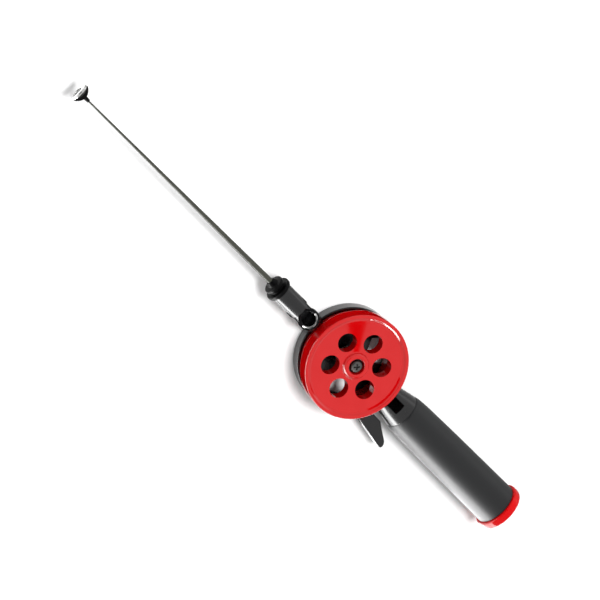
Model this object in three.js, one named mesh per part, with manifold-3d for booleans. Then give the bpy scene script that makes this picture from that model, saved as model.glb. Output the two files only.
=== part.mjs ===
// Ice fishing rod with a one-hand reel: moulded frame, six-hole spool, trigger stop, hollow grip, whip tip.
// Millimetres. The origin is on the spool's axis in the plane of the frame's flat back.
// +Z runs along the axle towards the spool's face, +X towards the rod's tip, +Y towards the trigger.
import * as THREE from 'three';
import * as BufferGeometryUtils from 'three/addons/utils/BufferGeometryUtils.js';
import Module from 'manifold-3d';

// ---- driving dimensions ---------------------------------------------------------------------------
const ROUND = 48;              // facets round the spool and the dish
const TUBE_ROUND = 32;         // facets round the grip, the neck and the tip tube
const SMALL_ROUND = 16;        // facets round pins, screws and the whip
const HOLE_ROUND = 20;         // facets round the spool's holes
const CUT = 60;                // reach of a cutting tool past what it cuts
const FIT = 0.1;               // clearance between coaxial pieces that were moulded to fit
const ROD_Z = 14.3;            // height of the rod's own axis: grip, neck, tip tube and whip

const DISH_R = 30;             // frame dish
const DISH_WALL = 1.5;
const DISH_H = 7;
const BACK_T = 2.2;
// one back window
const WINDOW_REACH = [[-21.5, 11], [-17.5, 16.5], [-8.5, 20.5], [-5, 17.5], [-8.5, 10.5], [-15, 7.5]];
const DISH_BORE = DISH_R - DISH_WALL;

const SPOOL_R = 31;            // spool
const SPOOL_TOP = 23;
const FACE_Z = 20.6;
const FACE_T = 2;
const SKIRT_BOTTOM = 14;
const SKIRT_WALL = 1.8;
const HOLE_R = 5.65;
const HOLE_CIRCLE_R = 15.6;
const HOLE_PHASE = THREE.MathUtils.degToRad(37.7);
const HOLE_COUNT = 6;
const HOLE_DEPTH_Z = 14.8;
const HUB_R = 7;
const HUB_POCKET_R = 4.6;
const DRUM_R = 25;
const DRUM_BORE = 23.4;
const REAR_FLANGE_R = 27.6;
const REAR_FLANGE_Z = 5.4;
const RATCHET_ROOT_R = 24.2;
const RATCHET_TIP_R = 25.2;
const RATCHET_TEETH = 24;       // a multiple of four, so a quarter turn meets the pawl in the same gap
const RATCHET_PHASE = THREE.MathUtils.degToRad(11);   // brings a tooth's foot under the pawl
const RATCHET_BOTTOM = 3;

const SLEEVE_R = 3;            // axle stack, from the frame's boss up to the screw's head
const SLEEVE_FLANGE_R = 6.2;
const BOSS_R = 6.5;
const BOSS_TOP = 4.6;
const SLEEVE_FLANGE_TOP = 5.2;
const FELT_TOP = 5.9;
const BUSH_R = 4;
const SLEEVE_TOP = 19.6;
const WASHER_T = 0.7;
const SCREW_R = 1.9;
const NUT_R = 4;
const SCREW_HEAD_R = 3.4;
const SCREW_HEAD_TOP = 22.7;

const RING_TILT = THREE.MathUtils.degToRad(35);   // line guide ring, leaning towards the tip
const RING_X = 40.1;
const RING_Z = 16;
const RING_R = 5.3;
const RING_BORE = 4.15;
const RING_T = 2.2;
const GUIDE_BOSS_R = 6.35;

const TUBE_R = 6.25;           // tip tube and whip plug
const TUBE_BORE = 4.9;
const TUBE_BACK = 48;
const TUBE_FRONT = 65;
const SPIGOT_FRONT = 53;
const PLUG_BACK = 54;
const PLUG_NOSE = 74;
const STOP_FLANGE_R = 7.6;     // the plug's big flange, against the tube
const STOP_FLANGE_FRONT = 67.3;
const COLLAR_R = 5.9;          // the plug's small flange
const COLLAR_BACK = 69.1;
const COLLAR_FRONT = 71;

const WHIP_BACK = 57;          // whip
const WHIP_FRONT = 240.4;
const WHIP_ROOT_R = 1.78;
const WHIP_TIP_R = 0.52;

const TIP_RING_X = 243.3;      // tip guide
const TIP_RING_R = 5.55;
const TIP_RING_BORE = 4.3;
const TIP_RING_LEAN = THREE.MathUtils.degToRad(16);   // the ring's top leans forward

const SEAM_X = -44.6;          // neck and grip
const NECK_SPIGOT_R = 7.9;
const NECK_SPIGOT_END = -58;
const GRIP_BACK = -129.8;
const GRIP_CHAMBER_R = 10.4;
const CAP_R = 14.3;
const CAP_BACK = -134.9;
const GRIP_SCREW_X = -51.5;    // screw underneath, which holds the grip on the neck's spigot

const PIVOT_X = -28.2;         // trigger pivot, beside the dish
const PIVOT_Y = 16;
const PIN_R = 1.45;
const LEVER_TOP = 12;
const LEVER_BOTTOM = 3.3;
const ARM_BOTTOM = 2.9;
const EAR_TOP = 2.75;          // seat under the lever
const ARM_TOP = 5;
const NOTCH_R = 8.8;           // room for the trigger's root in the dish's rim

// ---- materials ------------------------------------------------------------------------------------
function finish(color, roughness, metalness) {
  return new THREE.MeshStandardMaterial({ color, roughness, metalness });
}

const blackGloss = () => finish(0x17181a, 0.28, 0);
const greySatin = () => finish(0x35373a, 0.45, 0);
const redGloss = () => finish(0xd81f25, 0.2, 0);
const steel = () => finish(0xc9ccd0, 0.2, 1);
const brass = () => finish(0xb99445, 0.35, 1);
const darkSteel = () => finish(0x2c2e31, 0.35, 0.9);

// ---- solids ---------------------------------------------------------------------------------------
const wasm = await Module();
wasm.setup();

function solid(geometry) {
  const bare = geometry.clone();
  bare.deleteAttribute('normal');
  bare.deleteAttribute('uv');
  const merged = BufferGeometryUtils.mergeVertices(bare, 1e-4);
  const corners = merged.index.array;
  const kept = [];
  for (let i = 0; i < corners.length; i += 3) {
    const [a, b, c] = [corners[i], corners[i + 1], corners[i + 2]];
    if (a !== b && b !== c && c !== a) kept.push(a, b, c);
  }
  return new wasm.Manifold(new wasm.Mesh({
    numProp: 3,
    vertProperties: merged.attributes.position.array,
    triVerts: new Uint32Array(kept),
  }));
}

function geometryOf(body) {
  const mesh = body.getMesh();
  const geometry = new THREE.BufferGeometry();
  geometry.setAttribute('position', new THREE.BufferAttribute(new Float32Array(mesh.vertProperties), 3));
  geometry.setIndex(Array.from(mesh.triVerts));
  geometry.computeVertexNormals();
  return geometry;
}

function signedArea(points) {
  let sum = 0;
  points.forEach(([a, b], i) => {
    const [c, d] = points[(i + 1) % points.length];
    sum += a * d - c * b;
  });
  return sum / 2;
}

// A profile of [radius, height] points is turned about Z. A profile that leaves the axis closes on itself.
function turned(profile, facets = ROUND) {
  const points = signedArea(profile) > 0 ? profile.slice() : profile.slice().reverse();
  const before = (i) => points[(i + points.length - 1) % points.length];
  const start = points.findIndex(([r], i) => r === 0 && before(i)[0] === 0);
  const ordered = start < 0 ? [...points, points[0]] : [...points.slice(start), ...points.slice(0, start)];
  const outline = ordered.map(([r, z]) => new THREE.Vector2(r, z));
  return solid(new THREE.LatheGeometry(outline, facets).rotateX(Math.PI / 2));
}

// A profile of [x, radius] points is turned about the rod's own axis.
function turnedOnRod(profile, facets = TUBE_ROUND) {
  const body = turned(profile.map(([x, r]) => [r, x]), facets);
  return body.rotate([0, 90, 0]).translate([0, 0, ROD_Z]);
}

function cylinder(radius, bottom, top, facets = ROUND) {
  return turned([[0, bottom], [radius, bottom], [radius, top], [0, top]], facets);
}

function box(x0, x1, y0, y1, z0, z1) {
  const geometry = new THREE.BoxGeometry(x1 - x0, y1 - y0, z1 - z0);
  return solid(geometry.translate((x0 + x1) / 2, (y0 + y1) / 2, (z0 + z1) / 2));
}

function plate(shape, bottom, top, curveSegments = 8) {
  const depth = top - bottom;
  const geometry = new THREE.ExtrudeGeometry(shape, { depth, bevelEnabled: false, curveSegments });
  return solid(geometry.translate(0, 0, bottom));
}

function outline(points) {
  return new THREE.Shape(points.map(([x, y]) => new THREE.Vector2(x, y)));
}

function joined(bodies) {
  return bodies.reduce((whole, next) => whole.add(next));
}

function aroundAxis(count, phase, make) {
  return Array.from({ length: count }, (_, i) => make(phase + (i * 2 * Math.PI) / count));
}

const rod = new THREE.Group();

function piece(name, body, material) {
  const mesh = new THREE.Mesh(geometryOf(body), material);
  mesh.name = name;
  rod.add(mesh);
}

// ---- frame: dish, neck, guide boss and nose in one moulding -----------------------------------------
function dish() {
  const edge = 0.6;
  return turned([
    [0, 0], [DISH_R - edge, 0], [DISH_R, edge], [DISH_R, DISH_H - edge], [DISH_R - edge, DISH_H],
    [DISH_BORE, DISH_H], [DISH_BORE, BACK_T], [BOSS_R, BACK_T], [BOSS_R, BOSS_TOP], [0, BOSS_TOP],
  ]);
}

function neck() {
  const front = -26;
  const webHalf = 7;
  const tube = turnedOnRod([
    [front, 0], [front, 7.9], [-33, 8.7], [-37, 9.5], [-41, 10.25], [SEAM_X, 10.9],
    [SEAM_X, NECK_SPIGOT_R], [NECK_SPIGOT_END, NECK_SPIGOT_R], [NECK_SPIGOT_END, 0],
  ]);
  const side = plate(outline([[front, 0], [-33, 0], [SEAM_X + 0.3, 5.2], [SEAM_X + 0.3, 12], [front, 12]]),
    -webHalf, webHalf);
  return tube.add(side.rotate([90, 0, 0]));
}

function guideBoss() {
  const foot = -16;
  const boss = cylinder(GUIDE_BOSS_R, foot, 0, TUBE_ROUND);
  return boss.rotate([0, THREE.MathUtils.radToDeg(RING_TILT), 0]).translate([RING_X, 0, RING_Z]);
}

function nose() {
  const throatR = 5.5;
  const root = 36;
  const ribSide = outline([[DISH_R - 3, 0], [DISH_R + 1, 0], [42, 9.5], [42, 13], [DISH_R - 3, 10]]);
  const web = plate(ribSide, -4.5, 4.5);
  const stem = turnedOnRod([[root, 0], [root, throatR], [TUBE_BACK, throatR], [TUBE_BACK, TUBE_BORE - FIT],
    [SPIGOT_FRONT, TUBE_BORE - FIT], [SPIGOT_FRONT, 0]]);
  return stem.add(web.rotate([90, 0, 0]));
}

function linePassage() {
  const bore = cylinder(RING_BORE, -11, CUT, TUBE_ROUND);
  const seat = cylinder(RING_R + FIT / 2, -RING_T - FIT / 2, CUT, TUBE_ROUND);
  const tilted = bore.add(seat).rotate([0, THREE.MathUtils.radToDeg(RING_TILT), 0]);
  const slot = box(DISH_BORE - 2, 37, -3.2, 3.2, 7.4, 12.4);
  return tilted.translate([RING_X, 0, RING_Z]).add(slot);
}

// A half collar over the ring's tip side, which keeps the ring in its seat.
function ringHood() {
  const top = 1.9;
  const collar = cylinder(GUIDE_BOSS_R, -0.4, top, TUBE_ROUND)
    .subtract(cylinder(RING_R + FIT / 2, -CUT, 0.45, TUBE_ROUND))
    .subtract(cylinder(RING_BORE, -CUT, CUT, TUBE_ROUND));
  const tipSide = box(-0.6, CUT, -CUT, CUT, -CUT, CUT);
  return collar.intersect(tipSide).rotate([0, THREE.MathUtils.radToDeg(RING_TILT), 0])
    .translate([RING_X, 0, RING_Z]);
}

function spoolRoom() {
  const clear = 0.9;
  const under = cylinder(DISH_BORE, BACK_T, CUT).subtract(cylinder(BOSS_R, BACK_T, BOSS_TOP));
  return under.add(cylinder(SPOOL_R + clear, SKIRT_BOTTOM - 1.4, CUT));
}

function backWindow(side) {
  const window = outline(WINDOW_REACH.map(([x, y]) => [x, side * y]));
  return plate(window, -CUT, BACK_T + 0.5);
}

function triggerRoom() {
  const notch = cylinder(NOTCH_R, EAR_TOP, CUT / 2).translate([PIVOT_X, PIVOT_Y, 0]);
  const pinHole = cylinder(PIN_R + FIT / 2, 0.7, CUT / 2, SMALL_ROUND).translate([PIVOT_X, PIVOT_Y, 0]);
  const springPocket = box(-39.2, -32.4, 4, CUT, 6, 10.4);
  return joined([notch, pinHole, springPocket]);
}

function neckWindow() {
  return box(-38.6, -26, -3.4, 3.4, 8.4, CUT);
}

function nutPocket() {
  return cylinder(NUT_R + FIT, 1.2, BOSS_TOP + 1, 6);
}

function gripScrewHole() {
  return cylinder(1.1, -6.2, CUT, SMALL_ROUND).rotate([180, 0, 0]).translate([GRIP_SCREW_X, 0, ROD_Z]);
}

const ear = cylinder(4.6, 0, EAR_TOP, TUBE_ROUND).translate([PIVOT_X, PIVOT_Y, 0]);
const frame = joined([dish(), neck(), guideBoss(), nose(), ear])
  .subtract(joined([spoolRoom(), linePassage(), triggerRoom(), neckWindow(), nutPocket(), gripScrewHole()]))
  .subtract(joined([backWindow(1), backWindow(-1)]))
  .add(ringHood())
  .subtract(box(-CUT, CUT * 2, -CUT, CUT, -CUT, 0));
piece('frame_body', frame, blackGloss());

// ---- axle stack: nut, sleeve, felt, bush, washer and screw ------------------------------------------
function axleNut() {
  return cylinder(NUT_R, 1.3, 4.4, 6).subtract(cylinder(SCREW_R + FIT / 2, -1, CUT, SMALL_ROUND));
}

function axleSleeve() {
  const bore = SCREW_R + FIT;
  return turned([[bore, BOSS_TOP], [SLEEVE_FLANGE_R, BOSS_TOP], [SLEEVE_FLANGE_R, SLEEVE_FLANGE_TOP],
    [SLEEVE_R, SLEEVE_FLANGE_TOP], [SLEEVE_R, SLEEVE_TOP], [bore, SLEEVE_TOP]], SMALL_ROUND);
}

function ringWasher(inner, outer, bottom, top, facets = TUBE_ROUND) {
  return turned([[inner, bottom], [outer, bottom], [outer, top], [inner, top]], facets);
}

function crossRecess(reach, bottom, top) {
  const half = 0.42;
  const arms = box(-reach, reach, -half, half, bottom, top).add(box(-half, half, -reach, reach, bottom, top));
  return arms.rotate([0, 0, 45]);
}

function axleScrew() {
  const seat = SLEEVE_TOP + WASHER_T;
  const shank = turned([[0, 1.6], [SCREW_R, 1.6], [SCREW_R, seat + 0.02], [SCREW_HEAD_R, seat + 0.02],
    [SCREW_HEAD_R, SCREW_HEAD_TOP - 1], [SCREW_HEAD_R - 0.5, SCREW_HEAD_TOP - 0.3],
    [SCREW_HEAD_R - 1.6, SCREW_HEAD_TOP], [0, SCREW_HEAD_TOP]], SMALL_ROUND);
  return shank.subtract(crossRecess(1.9, SCREW_HEAD_TOP - 1.3, CUT));
}

piece('axle_nut', axleNut(), steel());
piece('axle_sleeve', axleSleeve(), steel());
piece('friction_washer', ringWasher(SLEEVE_R + FIT, SLEEVE_FLANGE_R - 0.4, SLEEVE_FLANGE_TOP, FELT_TOP),
  finish(0x8b8578, 0.95, 0));
const bushBody = ringWasher(SLEEVE_R + 0.06, BUSH_R, FELT_TOP + 0.05, SLEEVE_TOP - 0.1, SMALL_ROUND);
piece('hub_bush', bushBody, brass());
piece('axle_washer', ringWasher(SCREW_R + FIT, 4.3, SLEEVE_TOP, SLEEVE_TOP + WASHER_T, SMALL_ROUND), steel());
piece('axle_screw', axleScrew(), darkSteel());

// ---- spool: dished front with six holes, and a back with the line drum and the ratchet ----------------
function spoolShell() {
  const lipInner = SPOOL_R - 1.9;
  const under = FACE_Z - FACE_T;
  return turned([
    [BUSH_R + 0.02, FELT_TOP + 0.1], [HUB_R - 1, FELT_TOP + 0.1], [HUB_R - 1, under],
    [SPOOL_R - SKIRT_WALL, under],
    [SPOOL_R - SKIRT_WALL, SKIRT_BOTTOM], [SPOOL_R - 0.5, SKIRT_BOTTOM], [SPOOL_R, SKIRT_BOTTOM + 0.6],
    [SPOOL_R, SPOOL_TOP - 0.9], [SPOOL_R - 0.3, SPOOL_TOP - 0.25], [SPOOL_R - 0.95, SPOOL_TOP],
    [lipInner, SPOOL_TOP - 0.3], [lipInner - 0.7, FACE_Z + 0.9], [lipInner - 1.8, FACE_Z],
    [HUB_R + 0.9, FACE_Z], [HUB_R, FACE_Z + 1.4], [HUB_R - 0.6, FACE_Z + 2], [HUB_POCKET_R + 0.4, FACE_Z + 2],
    [HUB_POCKET_R, FACE_Z + 1.6], [HUB_POCKET_R, SLEEVE_TOP - 0.05], [BUSH_R + 0.02, SLEEVE_TOP - 0.05],
  ]);
}

function onHoleCircle(body, angle) {
  return body.translate([HOLE_CIRCLE_R * Math.cos(angle), HOLE_CIRCLE_R * Math.sin(angle), 0]);
}

function holeWalls() {
  const wall = 1;
  return joined(aroundAxis(HOLE_COUNT, HOLE_PHASE, (angle) =>
    onHoleCircle(cylinder(HOLE_R + wall, HOLE_DEPTH_Z, FACE_Z - 0.5, HOLE_ROUND), angle)));
}

function holes() {
  return joined(aroundAxis(HOLE_COUNT, HOLE_PHASE, (angle) =>
    onHoleCircle(cylinder(HOLE_R, 0, CUT, HOLE_ROUND), angle)));
}

function ribs() {
  const half = 0.55;
  const rib = box(HUB_R - 1.5, SPOOL_R - 2.5, -half, half, 16, FACE_Z - 0.5);
  const turn = THREE.MathUtils.radToDeg(HOLE_PHASE) + 180 / HOLE_COUNT;
  return joined(aroundAxis(HOLE_COUNT, 0, (angle) =>
    rib.rotate([0, 0, turn + THREE.MathUtils.radToDeg(angle)])));
}

function ratchetRing() {
  const points = [];
  const steepPart = 0.12;
  const step = (2 * Math.PI) / RATCHET_TEETH;
  for (let i = 0; i < RATCHET_TEETH; i += 1) {
    const tip = RATCHET_PHASE + i * step;
    const foot = tip + step * steepPart;
    points.push([RATCHET_TIP_R * Math.cos(tip), RATCHET_TIP_R * Math.sin(tip)]);
    points.push([RATCHET_ROOT_R * Math.cos(foot), RATCHET_ROOT_R * Math.sin(foot)]);
  }
  return plate(outline(points), RATCHET_BOTTOM, REAR_FLANGE_Z + 0.2)
    .subtract(cylinder(DRUM_BORE, 0, CUT));
}

function spoolBack() {
  const drum = turned([
    [DRUM_BORE, REAR_FLANGE_Z], [REAR_FLANGE_R, REAR_FLANGE_Z], [REAR_FLANGE_R, REAR_FLANGE_Z + 1],
    [DRUM_R, REAR_FLANGE_Z + 1.9], [DRUM_R, SKIRT_BOTTOM - 1], [SPOOL_R - SKIRT_WALL - FIT, SKIRT_BOTTOM],
    [SPOOL_R - SKIRT_WALL - FIT, SKIRT_BOTTOM + 1.3], [DRUM_BORE, SKIRT_BOTTOM + 1.3],
  ]);
  return drum.add(ratchetRing());
}

piece('spool_front', spoolShell().add(joined([holeWalls(), ribs()])).subtract(holes()), redGloss());
piece('spool_back', spoolBack(), redGloss());

// ---- trigger: lever with its pawl, pin and return spring ----------------------------------------------
function fingerPlate() {
  const shape = new THREE.Shape();
  shape.moveTo(-27.4, 19.4);
  shape.lineTo(-52.1, 23.3);
  shape.quadraticCurveTo(-54.2, 23, -53.4, 20.6);
  shape.quadraticCurveTo(-52.6, 18.9, -51.2, 18.2);
  shape.quadraticCurveTo(-45.4, 15, -41.2, 12.2);
  shape.lineTo(-30.4, 12.1);
  shape.quadraticCurveTo(-28.4, 12.2, -28.2, 13.6);
  return plate(shape, LEVER_BOTTOM, LEVER_TOP);
}

function pawlArm() {
  const arm = outline([[-29.6, 13.2], [-26.4, 19.3], [-21, 18.3], [-17.9, 18.4], [-17.1, 17.5], [-18.6, 16.9],
    [-21.4, 16.1], [-25.4, 14.2]]);
  return plate(arm, ARM_BOTTOM, ARM_TOP);
}

function triggerLever() {
  const pinBore = cylinder(PIN_R + 0.06, -1, CUT, SMALL_ROUND).translate([PIVOT_X, PIVOT_Y, 0]);
  return fingerPlate().add(pawlArm()).subtract(pinBore);
}

function triggerPin() {
  const pin = turned([[0, 0.8], [PIN_R, 0.8], [PIN_R, LEVER_TOP + 0.1], [2.5, LEVER_TOP + 0.1],
    [2.5, LEVER_TOP + 0.6], [1.9, LEVER_TOP + 0.9], [0, LEVER_TOP + 0.9]], SMALL_ROUND);
  return pin.translate([PIVOT_X, PIVOT_Y, 0]);
}

class Coil extends THREE.Curve {
  constructor(radius, length, turns) {
    super();
    this.radius = radius;
    this.length = length;
    this.turns = turns;
  }

  getPoint(t, target = new THREE.Vector3()) {
    const angle = t * this.turns * 2 * Math.PI;
    return target.set(this.radius * Math.cos(angle), -this.length * t, this.radius * Math.sin(angle));
  }
}

function triggerSpring() {
  const wireR = 0.3;
  const turns = 4;
  const wire = new THREE.Shape();
  wire.absarc(0, 0, wireR, 0, 2 * Math.PI, false);
  const geometry = new THREE.ExtrudeGeometry(wire, {
    steps: turns * 9, extrudePath: new Coil(1.4, 4.8, turns), curveSegments: 3, bevelEnabled: false,
  });
  return solid(geometry.translate(-35.9, 11.6, 8.2));
}

piece('trigger_lever', triggerLever(), blackGloss());
piece('trigger_pin', triggerPin(), steel());
piece('trigger_spring', triggerSpring(), steel());

// ---- line guide ring, tip tube and whip ---------------------------------------------------------------
function guideRing() {
  const edge = 0.35;
  const ring = turned([[RING_BORE, -RING_T], [RING_R, -RING_T], [RING_R, 0], [RING_R - edge, edge],
    [RING_BORE + edge, edge], [RING_BORE, 0]], TUBE_ROUND);
  return ring.rotate([0, THREE.MathUtils.radToDeg(RING_TILT), 0]).translate([RING_X, 0, RING_Z]);
}

function tipTube() {
  const edge = 0.35;
  return turnedOnRod([[TUBE_BACK, TUBE_BORE], [TUBE_BACK, TUBE_R - edge], [TUBE_BACK + edge, TUBE_R],
    [TUBE_FRONT - edge, TUBE_R], [TUBE_FRONT, TUBE_R - edge], [TUBE_FRONT, TUBE_BORE]]);
}

function whipPlug() {
  const stemR = TUBE_BORE - FIT;
  const edge = 0.5;
  const waistR = 4.5;
  return turnedOnRod([
    [PLUG_BACK, WHIP_ROOT_R + 0.04], [PLUG_BACK, stemR], [TUBE_FRONT, stemR],
    [TUBE_FRONT, STOP_FLANGE_R - edge], [TUBE_FRONT + edge, STOP_FLANGE_R],
    [STOP_FLANGE_FRONT - edge, STOP_FLANGE_R], [STOP_FLANGE_FRONT, STOP_FLANGE_R - edge],
    [STOP_FLANGE_FRONT, waistR], [COLLAR_BACK, waistR], [COLLAR_BACK, COLLAR_R - edge],
    [COLLAR_BACK + edge, COLLAR_R], [COLLAR_FRONT - edge, COLLAR_R], [COLLAR_FRONT, COLLAR_R - edge],
    [COLLAR_FRONT + 0.2, 3.3], [PLUG_NOSE - 0.9, 2.7], [PLUG_NOSE, 2.2], [PLUG_NOSE, WHIP_ROOT_R + 0.04],
  ]);
}

function whipBlank() {
  return turnedOnRod([[WHIP_BACK, 0], [WHIP_BACK, WHIP_ROOT_R], [PLUG_NOSE, WHIP_ROOT_R],
    [WHIP_FRONT, WHIP_TIP_R], [WHIP_FRONT, 0]], SMALL_ROUND);
}

function leanedForward(body) {
  return body.translate([-TIP_RING_X, 0, -ROD_Z]).rotate([0, THREE.MathUtils.radToDeg(TIP_RING_LEAN), 0])
    .translate([TIP_RING_X, 0, ROD_Z]);
}

function tipYoke() {
  const half = 1.5;
  const end = TIP_RING_X;
  const shape = new THREE.Shape();
  shape.moveTo(end, 5.5);
  shape.quadraticCurveTo(240.2, 4.2, 238.9, 0);
  shape.quadraticCurveTo(240.2, -4.2, end, -5.5);
  shape.lineTo(end, -4.6);
  shape.quadraticCurveTo(241.9, -3.2, 241.6, 0);
  shape.quadraticCurveTo(241.9, 3.2, end, 4.6);
  const yoke = plate(shape, ROD_Z - half, ROD_Z + half, 10);
  const socket = turnedOnRod([[235.8, 0], [235.8, 1.05], [239.6, 1.35], [241.2, 1.35], [241.2, 0]],
    SMALL_ROUND);
  const ringRoom = leanedForward(turnedOnRod([[end, 0], [end, 7], [end + 5, 7], [end + 5, 0]]));
  const whipBore = turnedOnRod([[230, 0], [230, WHIP_TIP_R + 0.08], [WHIP_FRONT + 0.1, WHIP_TIP_R + 0.08],
    [WHIP_FRONT + 0.1, 0]], SMALL_ROUND);
  return yoke.add(socket).subtract(whipBore).subtract(ringRoom);
}

function tipRing() {
  const back = TIP_RING_X + 0.02;
  const edge = 0.4;
  return leanedForward(turnedOnRod([
    [back, TIP_RING_BORE + edge], [back, TIP_RING_R - edge], [back + edge, TIP_RING_R],
    [back + 1.2, TIP_RING_R], [back + 1.6, TIP_RING_R - edge], [back + 1.6, TIP_RING_BORE + edge],
    [back + 1.2, TIP_RING_BORE], [back + edge, TIP_RING_BORE],
  ]));
}

piece('line_guide_ring', guideRing(), steel());
piece('tip_tube', tipTube(), blackGloss());
piece('whip_plug', whipPlug(), blackGloss());
piece('whip_blank', whipBlank(), finish(0x3b3d38, 0.4, 0));
piece('tip_guide_yoke', tipYoke(), blackGloss());
piece('tip_guide_ring', tipRing(), steel());

// ---- grip, its screw and the butt cap -------------------------------------------------------------------
function gripShell() {
  const front = SEAM_X - 0.1;
  const shell = turnedOnRod([
    [front, NECK_SPIGOT_R + FIT], [front, 10.8], [front - 0.8, 11.2], [-47.2, 11.5], [-49.4, 11.75],
    [-55.4, 12.1],
    [-68, 12.3], [-81, 12.5], [-94, 12.6], [-119, 12.75], [GRIP_BACK + 0.5, 12.85], [GRIP_BACK, 12.4],
    [GRIP_BACK, GRIP_CHAMBER_R], [-62, GRIP_CHAMBER_R], [-60, NECK_SPIGOT_R + FIT],
  ]);
  const screwHole = cylinder(2.7, 10, CUT, SMALL_ROUND).add(cylinder(1.3, 0, CUT, SMALL_ROUND));
  return shell.subtract(screwHole.rotate([180, 0, 0]).translate([GRIP_SCREW_X, 0, ROD_Z]));
}

function gripScrew() {
  const screw = turned([[0, -6], [1, -6], [1, -10.05], [2.5, -10.05], [2.5, -10.9], [2, -11.4], [0, -11.4]],
    SMALL_ROUND);
  return screw.subtract(crossRecess(1.3, -CUT, -10.6)).translate([GRIP_SCREW_X, 0, ROD_Z]);
}

function buttCap() {
  const stemR = GRIP_CHAMBER_R - FIT;
  const edge = 1.2;
  const front = GRIP_BACK - 0.1;
  return turnedOnRod([
    [CAP_BACK, 0], [CAP_BACK, CAP_R - edge], [CAP_BACK + 0.35, CAP_R - 0.4], [CAP_BACK + edge, CAP_R],
    [front - edge, CAP_R], [front - 0.35, CAP_R - 0.4], [front, CAP_R - edge], [front, stemR],
    [-117.4, stemR], [-116.8, stemR - 0.6], [-116.8, stemR - 1.6], [CAP_BACK + 2, stemR - 1.6],
    [CAP_BACK + 2, 0],
  ], ROUND);
}

piece('grip_shell', gripShell(), greySatin());
piece('grip_screw', gripScrew(), darkSteel());
piece('butt_cap', buttCap(), redGloss());

export default rod;
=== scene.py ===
"""Ice fishing rod with a one-hand reel: the visible pieces, their finishes and a small studio."""

import math

import bpy
from bpy.props import FloatProperty, FloatVectorProperty, IntProperty, PointerProperty
from mathutils import Matrix, Vector


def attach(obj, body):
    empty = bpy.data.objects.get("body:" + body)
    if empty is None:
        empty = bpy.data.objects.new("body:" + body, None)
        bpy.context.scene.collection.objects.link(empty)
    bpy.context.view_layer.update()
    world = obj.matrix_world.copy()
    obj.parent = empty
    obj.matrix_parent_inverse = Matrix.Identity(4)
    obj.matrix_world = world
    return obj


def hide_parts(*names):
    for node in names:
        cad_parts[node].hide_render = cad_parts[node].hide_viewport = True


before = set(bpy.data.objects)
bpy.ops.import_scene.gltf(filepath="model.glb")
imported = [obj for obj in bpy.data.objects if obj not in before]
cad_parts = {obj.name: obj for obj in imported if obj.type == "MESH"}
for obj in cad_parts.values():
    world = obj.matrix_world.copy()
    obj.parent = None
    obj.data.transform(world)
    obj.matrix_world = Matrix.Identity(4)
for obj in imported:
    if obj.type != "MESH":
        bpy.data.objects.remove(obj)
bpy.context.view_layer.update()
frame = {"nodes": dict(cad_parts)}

bl_info = {
    "name": "Ice Fishing Rod",
    "version": (1, 0, 0),
    "blender": (4, 5, 0),
    "location": "View3D > Sidebar > Rod",
    "description": "Builds an ice fishing rod with its reel, grip and whip around a packed frame",
    "category": "Object",
}

MM = 0.001
ROD_Z = 14.3  # height of the rod's own axis over the table, in millimetres
SPOKES = 6
HOLE_RING = 15.6
HOLE_PHASE = math.radians(37.7)
GUIDE_TILT = math.radians(35)
GUIDE_PLACE = (40.1, 0, 16)
PIVOT = (-28.2, 16)
GRIP_SCREW_X = -51.5
TIP_RING_X = 243.3
TIP_RING_LEAN = math.radians(16)


# ---- working on a mesh as by hand ----------------------------------------------------------------


def deselect():
    bpy.ops.object.select_all(action="DESELECT")


def only(obj):
    """Makes one object the selected and active one."""
    deselect()
    obj.select_set(True)
    bpy.context.view_layer.objects.active = obj


def edit(obj, kind="VERT"):
    """Goes into edit mode with everything selected, picking vertices, edges or faces."""
    only(obj)
    bpy.context.tool_settings.mesh_select_mode = [kind == k for k in ("VERT", "EDGE", "FACE")]
    bpy.ops.object.mode_set(mode="EDIT")
    bpy.ops.mesh.select_all(action="SELECT")


def edit_where(obj, kind, test):
    """Goes into edit mode with only the edges or faces that pass the test selected."""
    mesh = obj.data
    for items in (mesh.vertices, mesh.edges, mesh.polygons):
        items.foreach_set("select", [False] * len(items))
    chosen = {"EDGE": mesh.edges, "FACE": mesh.polygons}[kind]
    chosen.foreach_set("select", [bool(test(mesh, item)) for item in chosen])
    only(obj)
    bpy.context.tool_settings.mesh_select_mode = [kind == k for k in ("VERT", "EDGE", "FACE")]
    bpy.ops.object.mode_set(mode="EDIT")


def leave():
    bpy.ops.object.mode_set(mode="OBJECT")


def settle(obj):
    """Puts an object's place, turn and size into its mesh."""
    only(obj)
    bpy.ops.object.transform_apply(location=True, rotation=True, scale=True)


def close_up(obj, reach=2e-6):
    """Joins points that meet and turns every face outwards."""
    edit(obj)
    bpy.ops.mesh.remove_doubles(threshold=reach)
    bpy.ops.mesh.normals_make_consistent(inside=False)
    leave()


def apply_all(obj):
    only(obj)
    for modifier in list(obj.modifiers):
        bpy.ops.object.modifier_apply(modifier=modifier.name)


def rounded(points, radius, closed=True):
    """Replaces each real corner of a line of points with a short arc."""
    gentle, step = math.radians(14), math.radians(24)
    line = [Vector(p) for p in points]
    out = []
    for i, corner in enumerate(line):
        inner = closed or 0 < i < len(line) - 1
        before = line[i - 1] - corner
        after = line[(i + 1) % len(line)] - corner
        turn = math.pi - before.angle(after) if inner else 0
        if turn < gentle:
            out.append(corner)
            continue
        reach = min(radius * math.tan(turn / 2), 0.45 * before.length, 0.45 * after.length)
        a, b = corner + before.normalized() * reach, corner + after.normalized() * reach
        steps = max(2, round(turn / step))
        for k in range(steps + 1):
            t = k / steps
            out.append(a * (1 - t) ** 2 + corner * 2 * t * (1 - t) + b * t**2)
    return out


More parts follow.
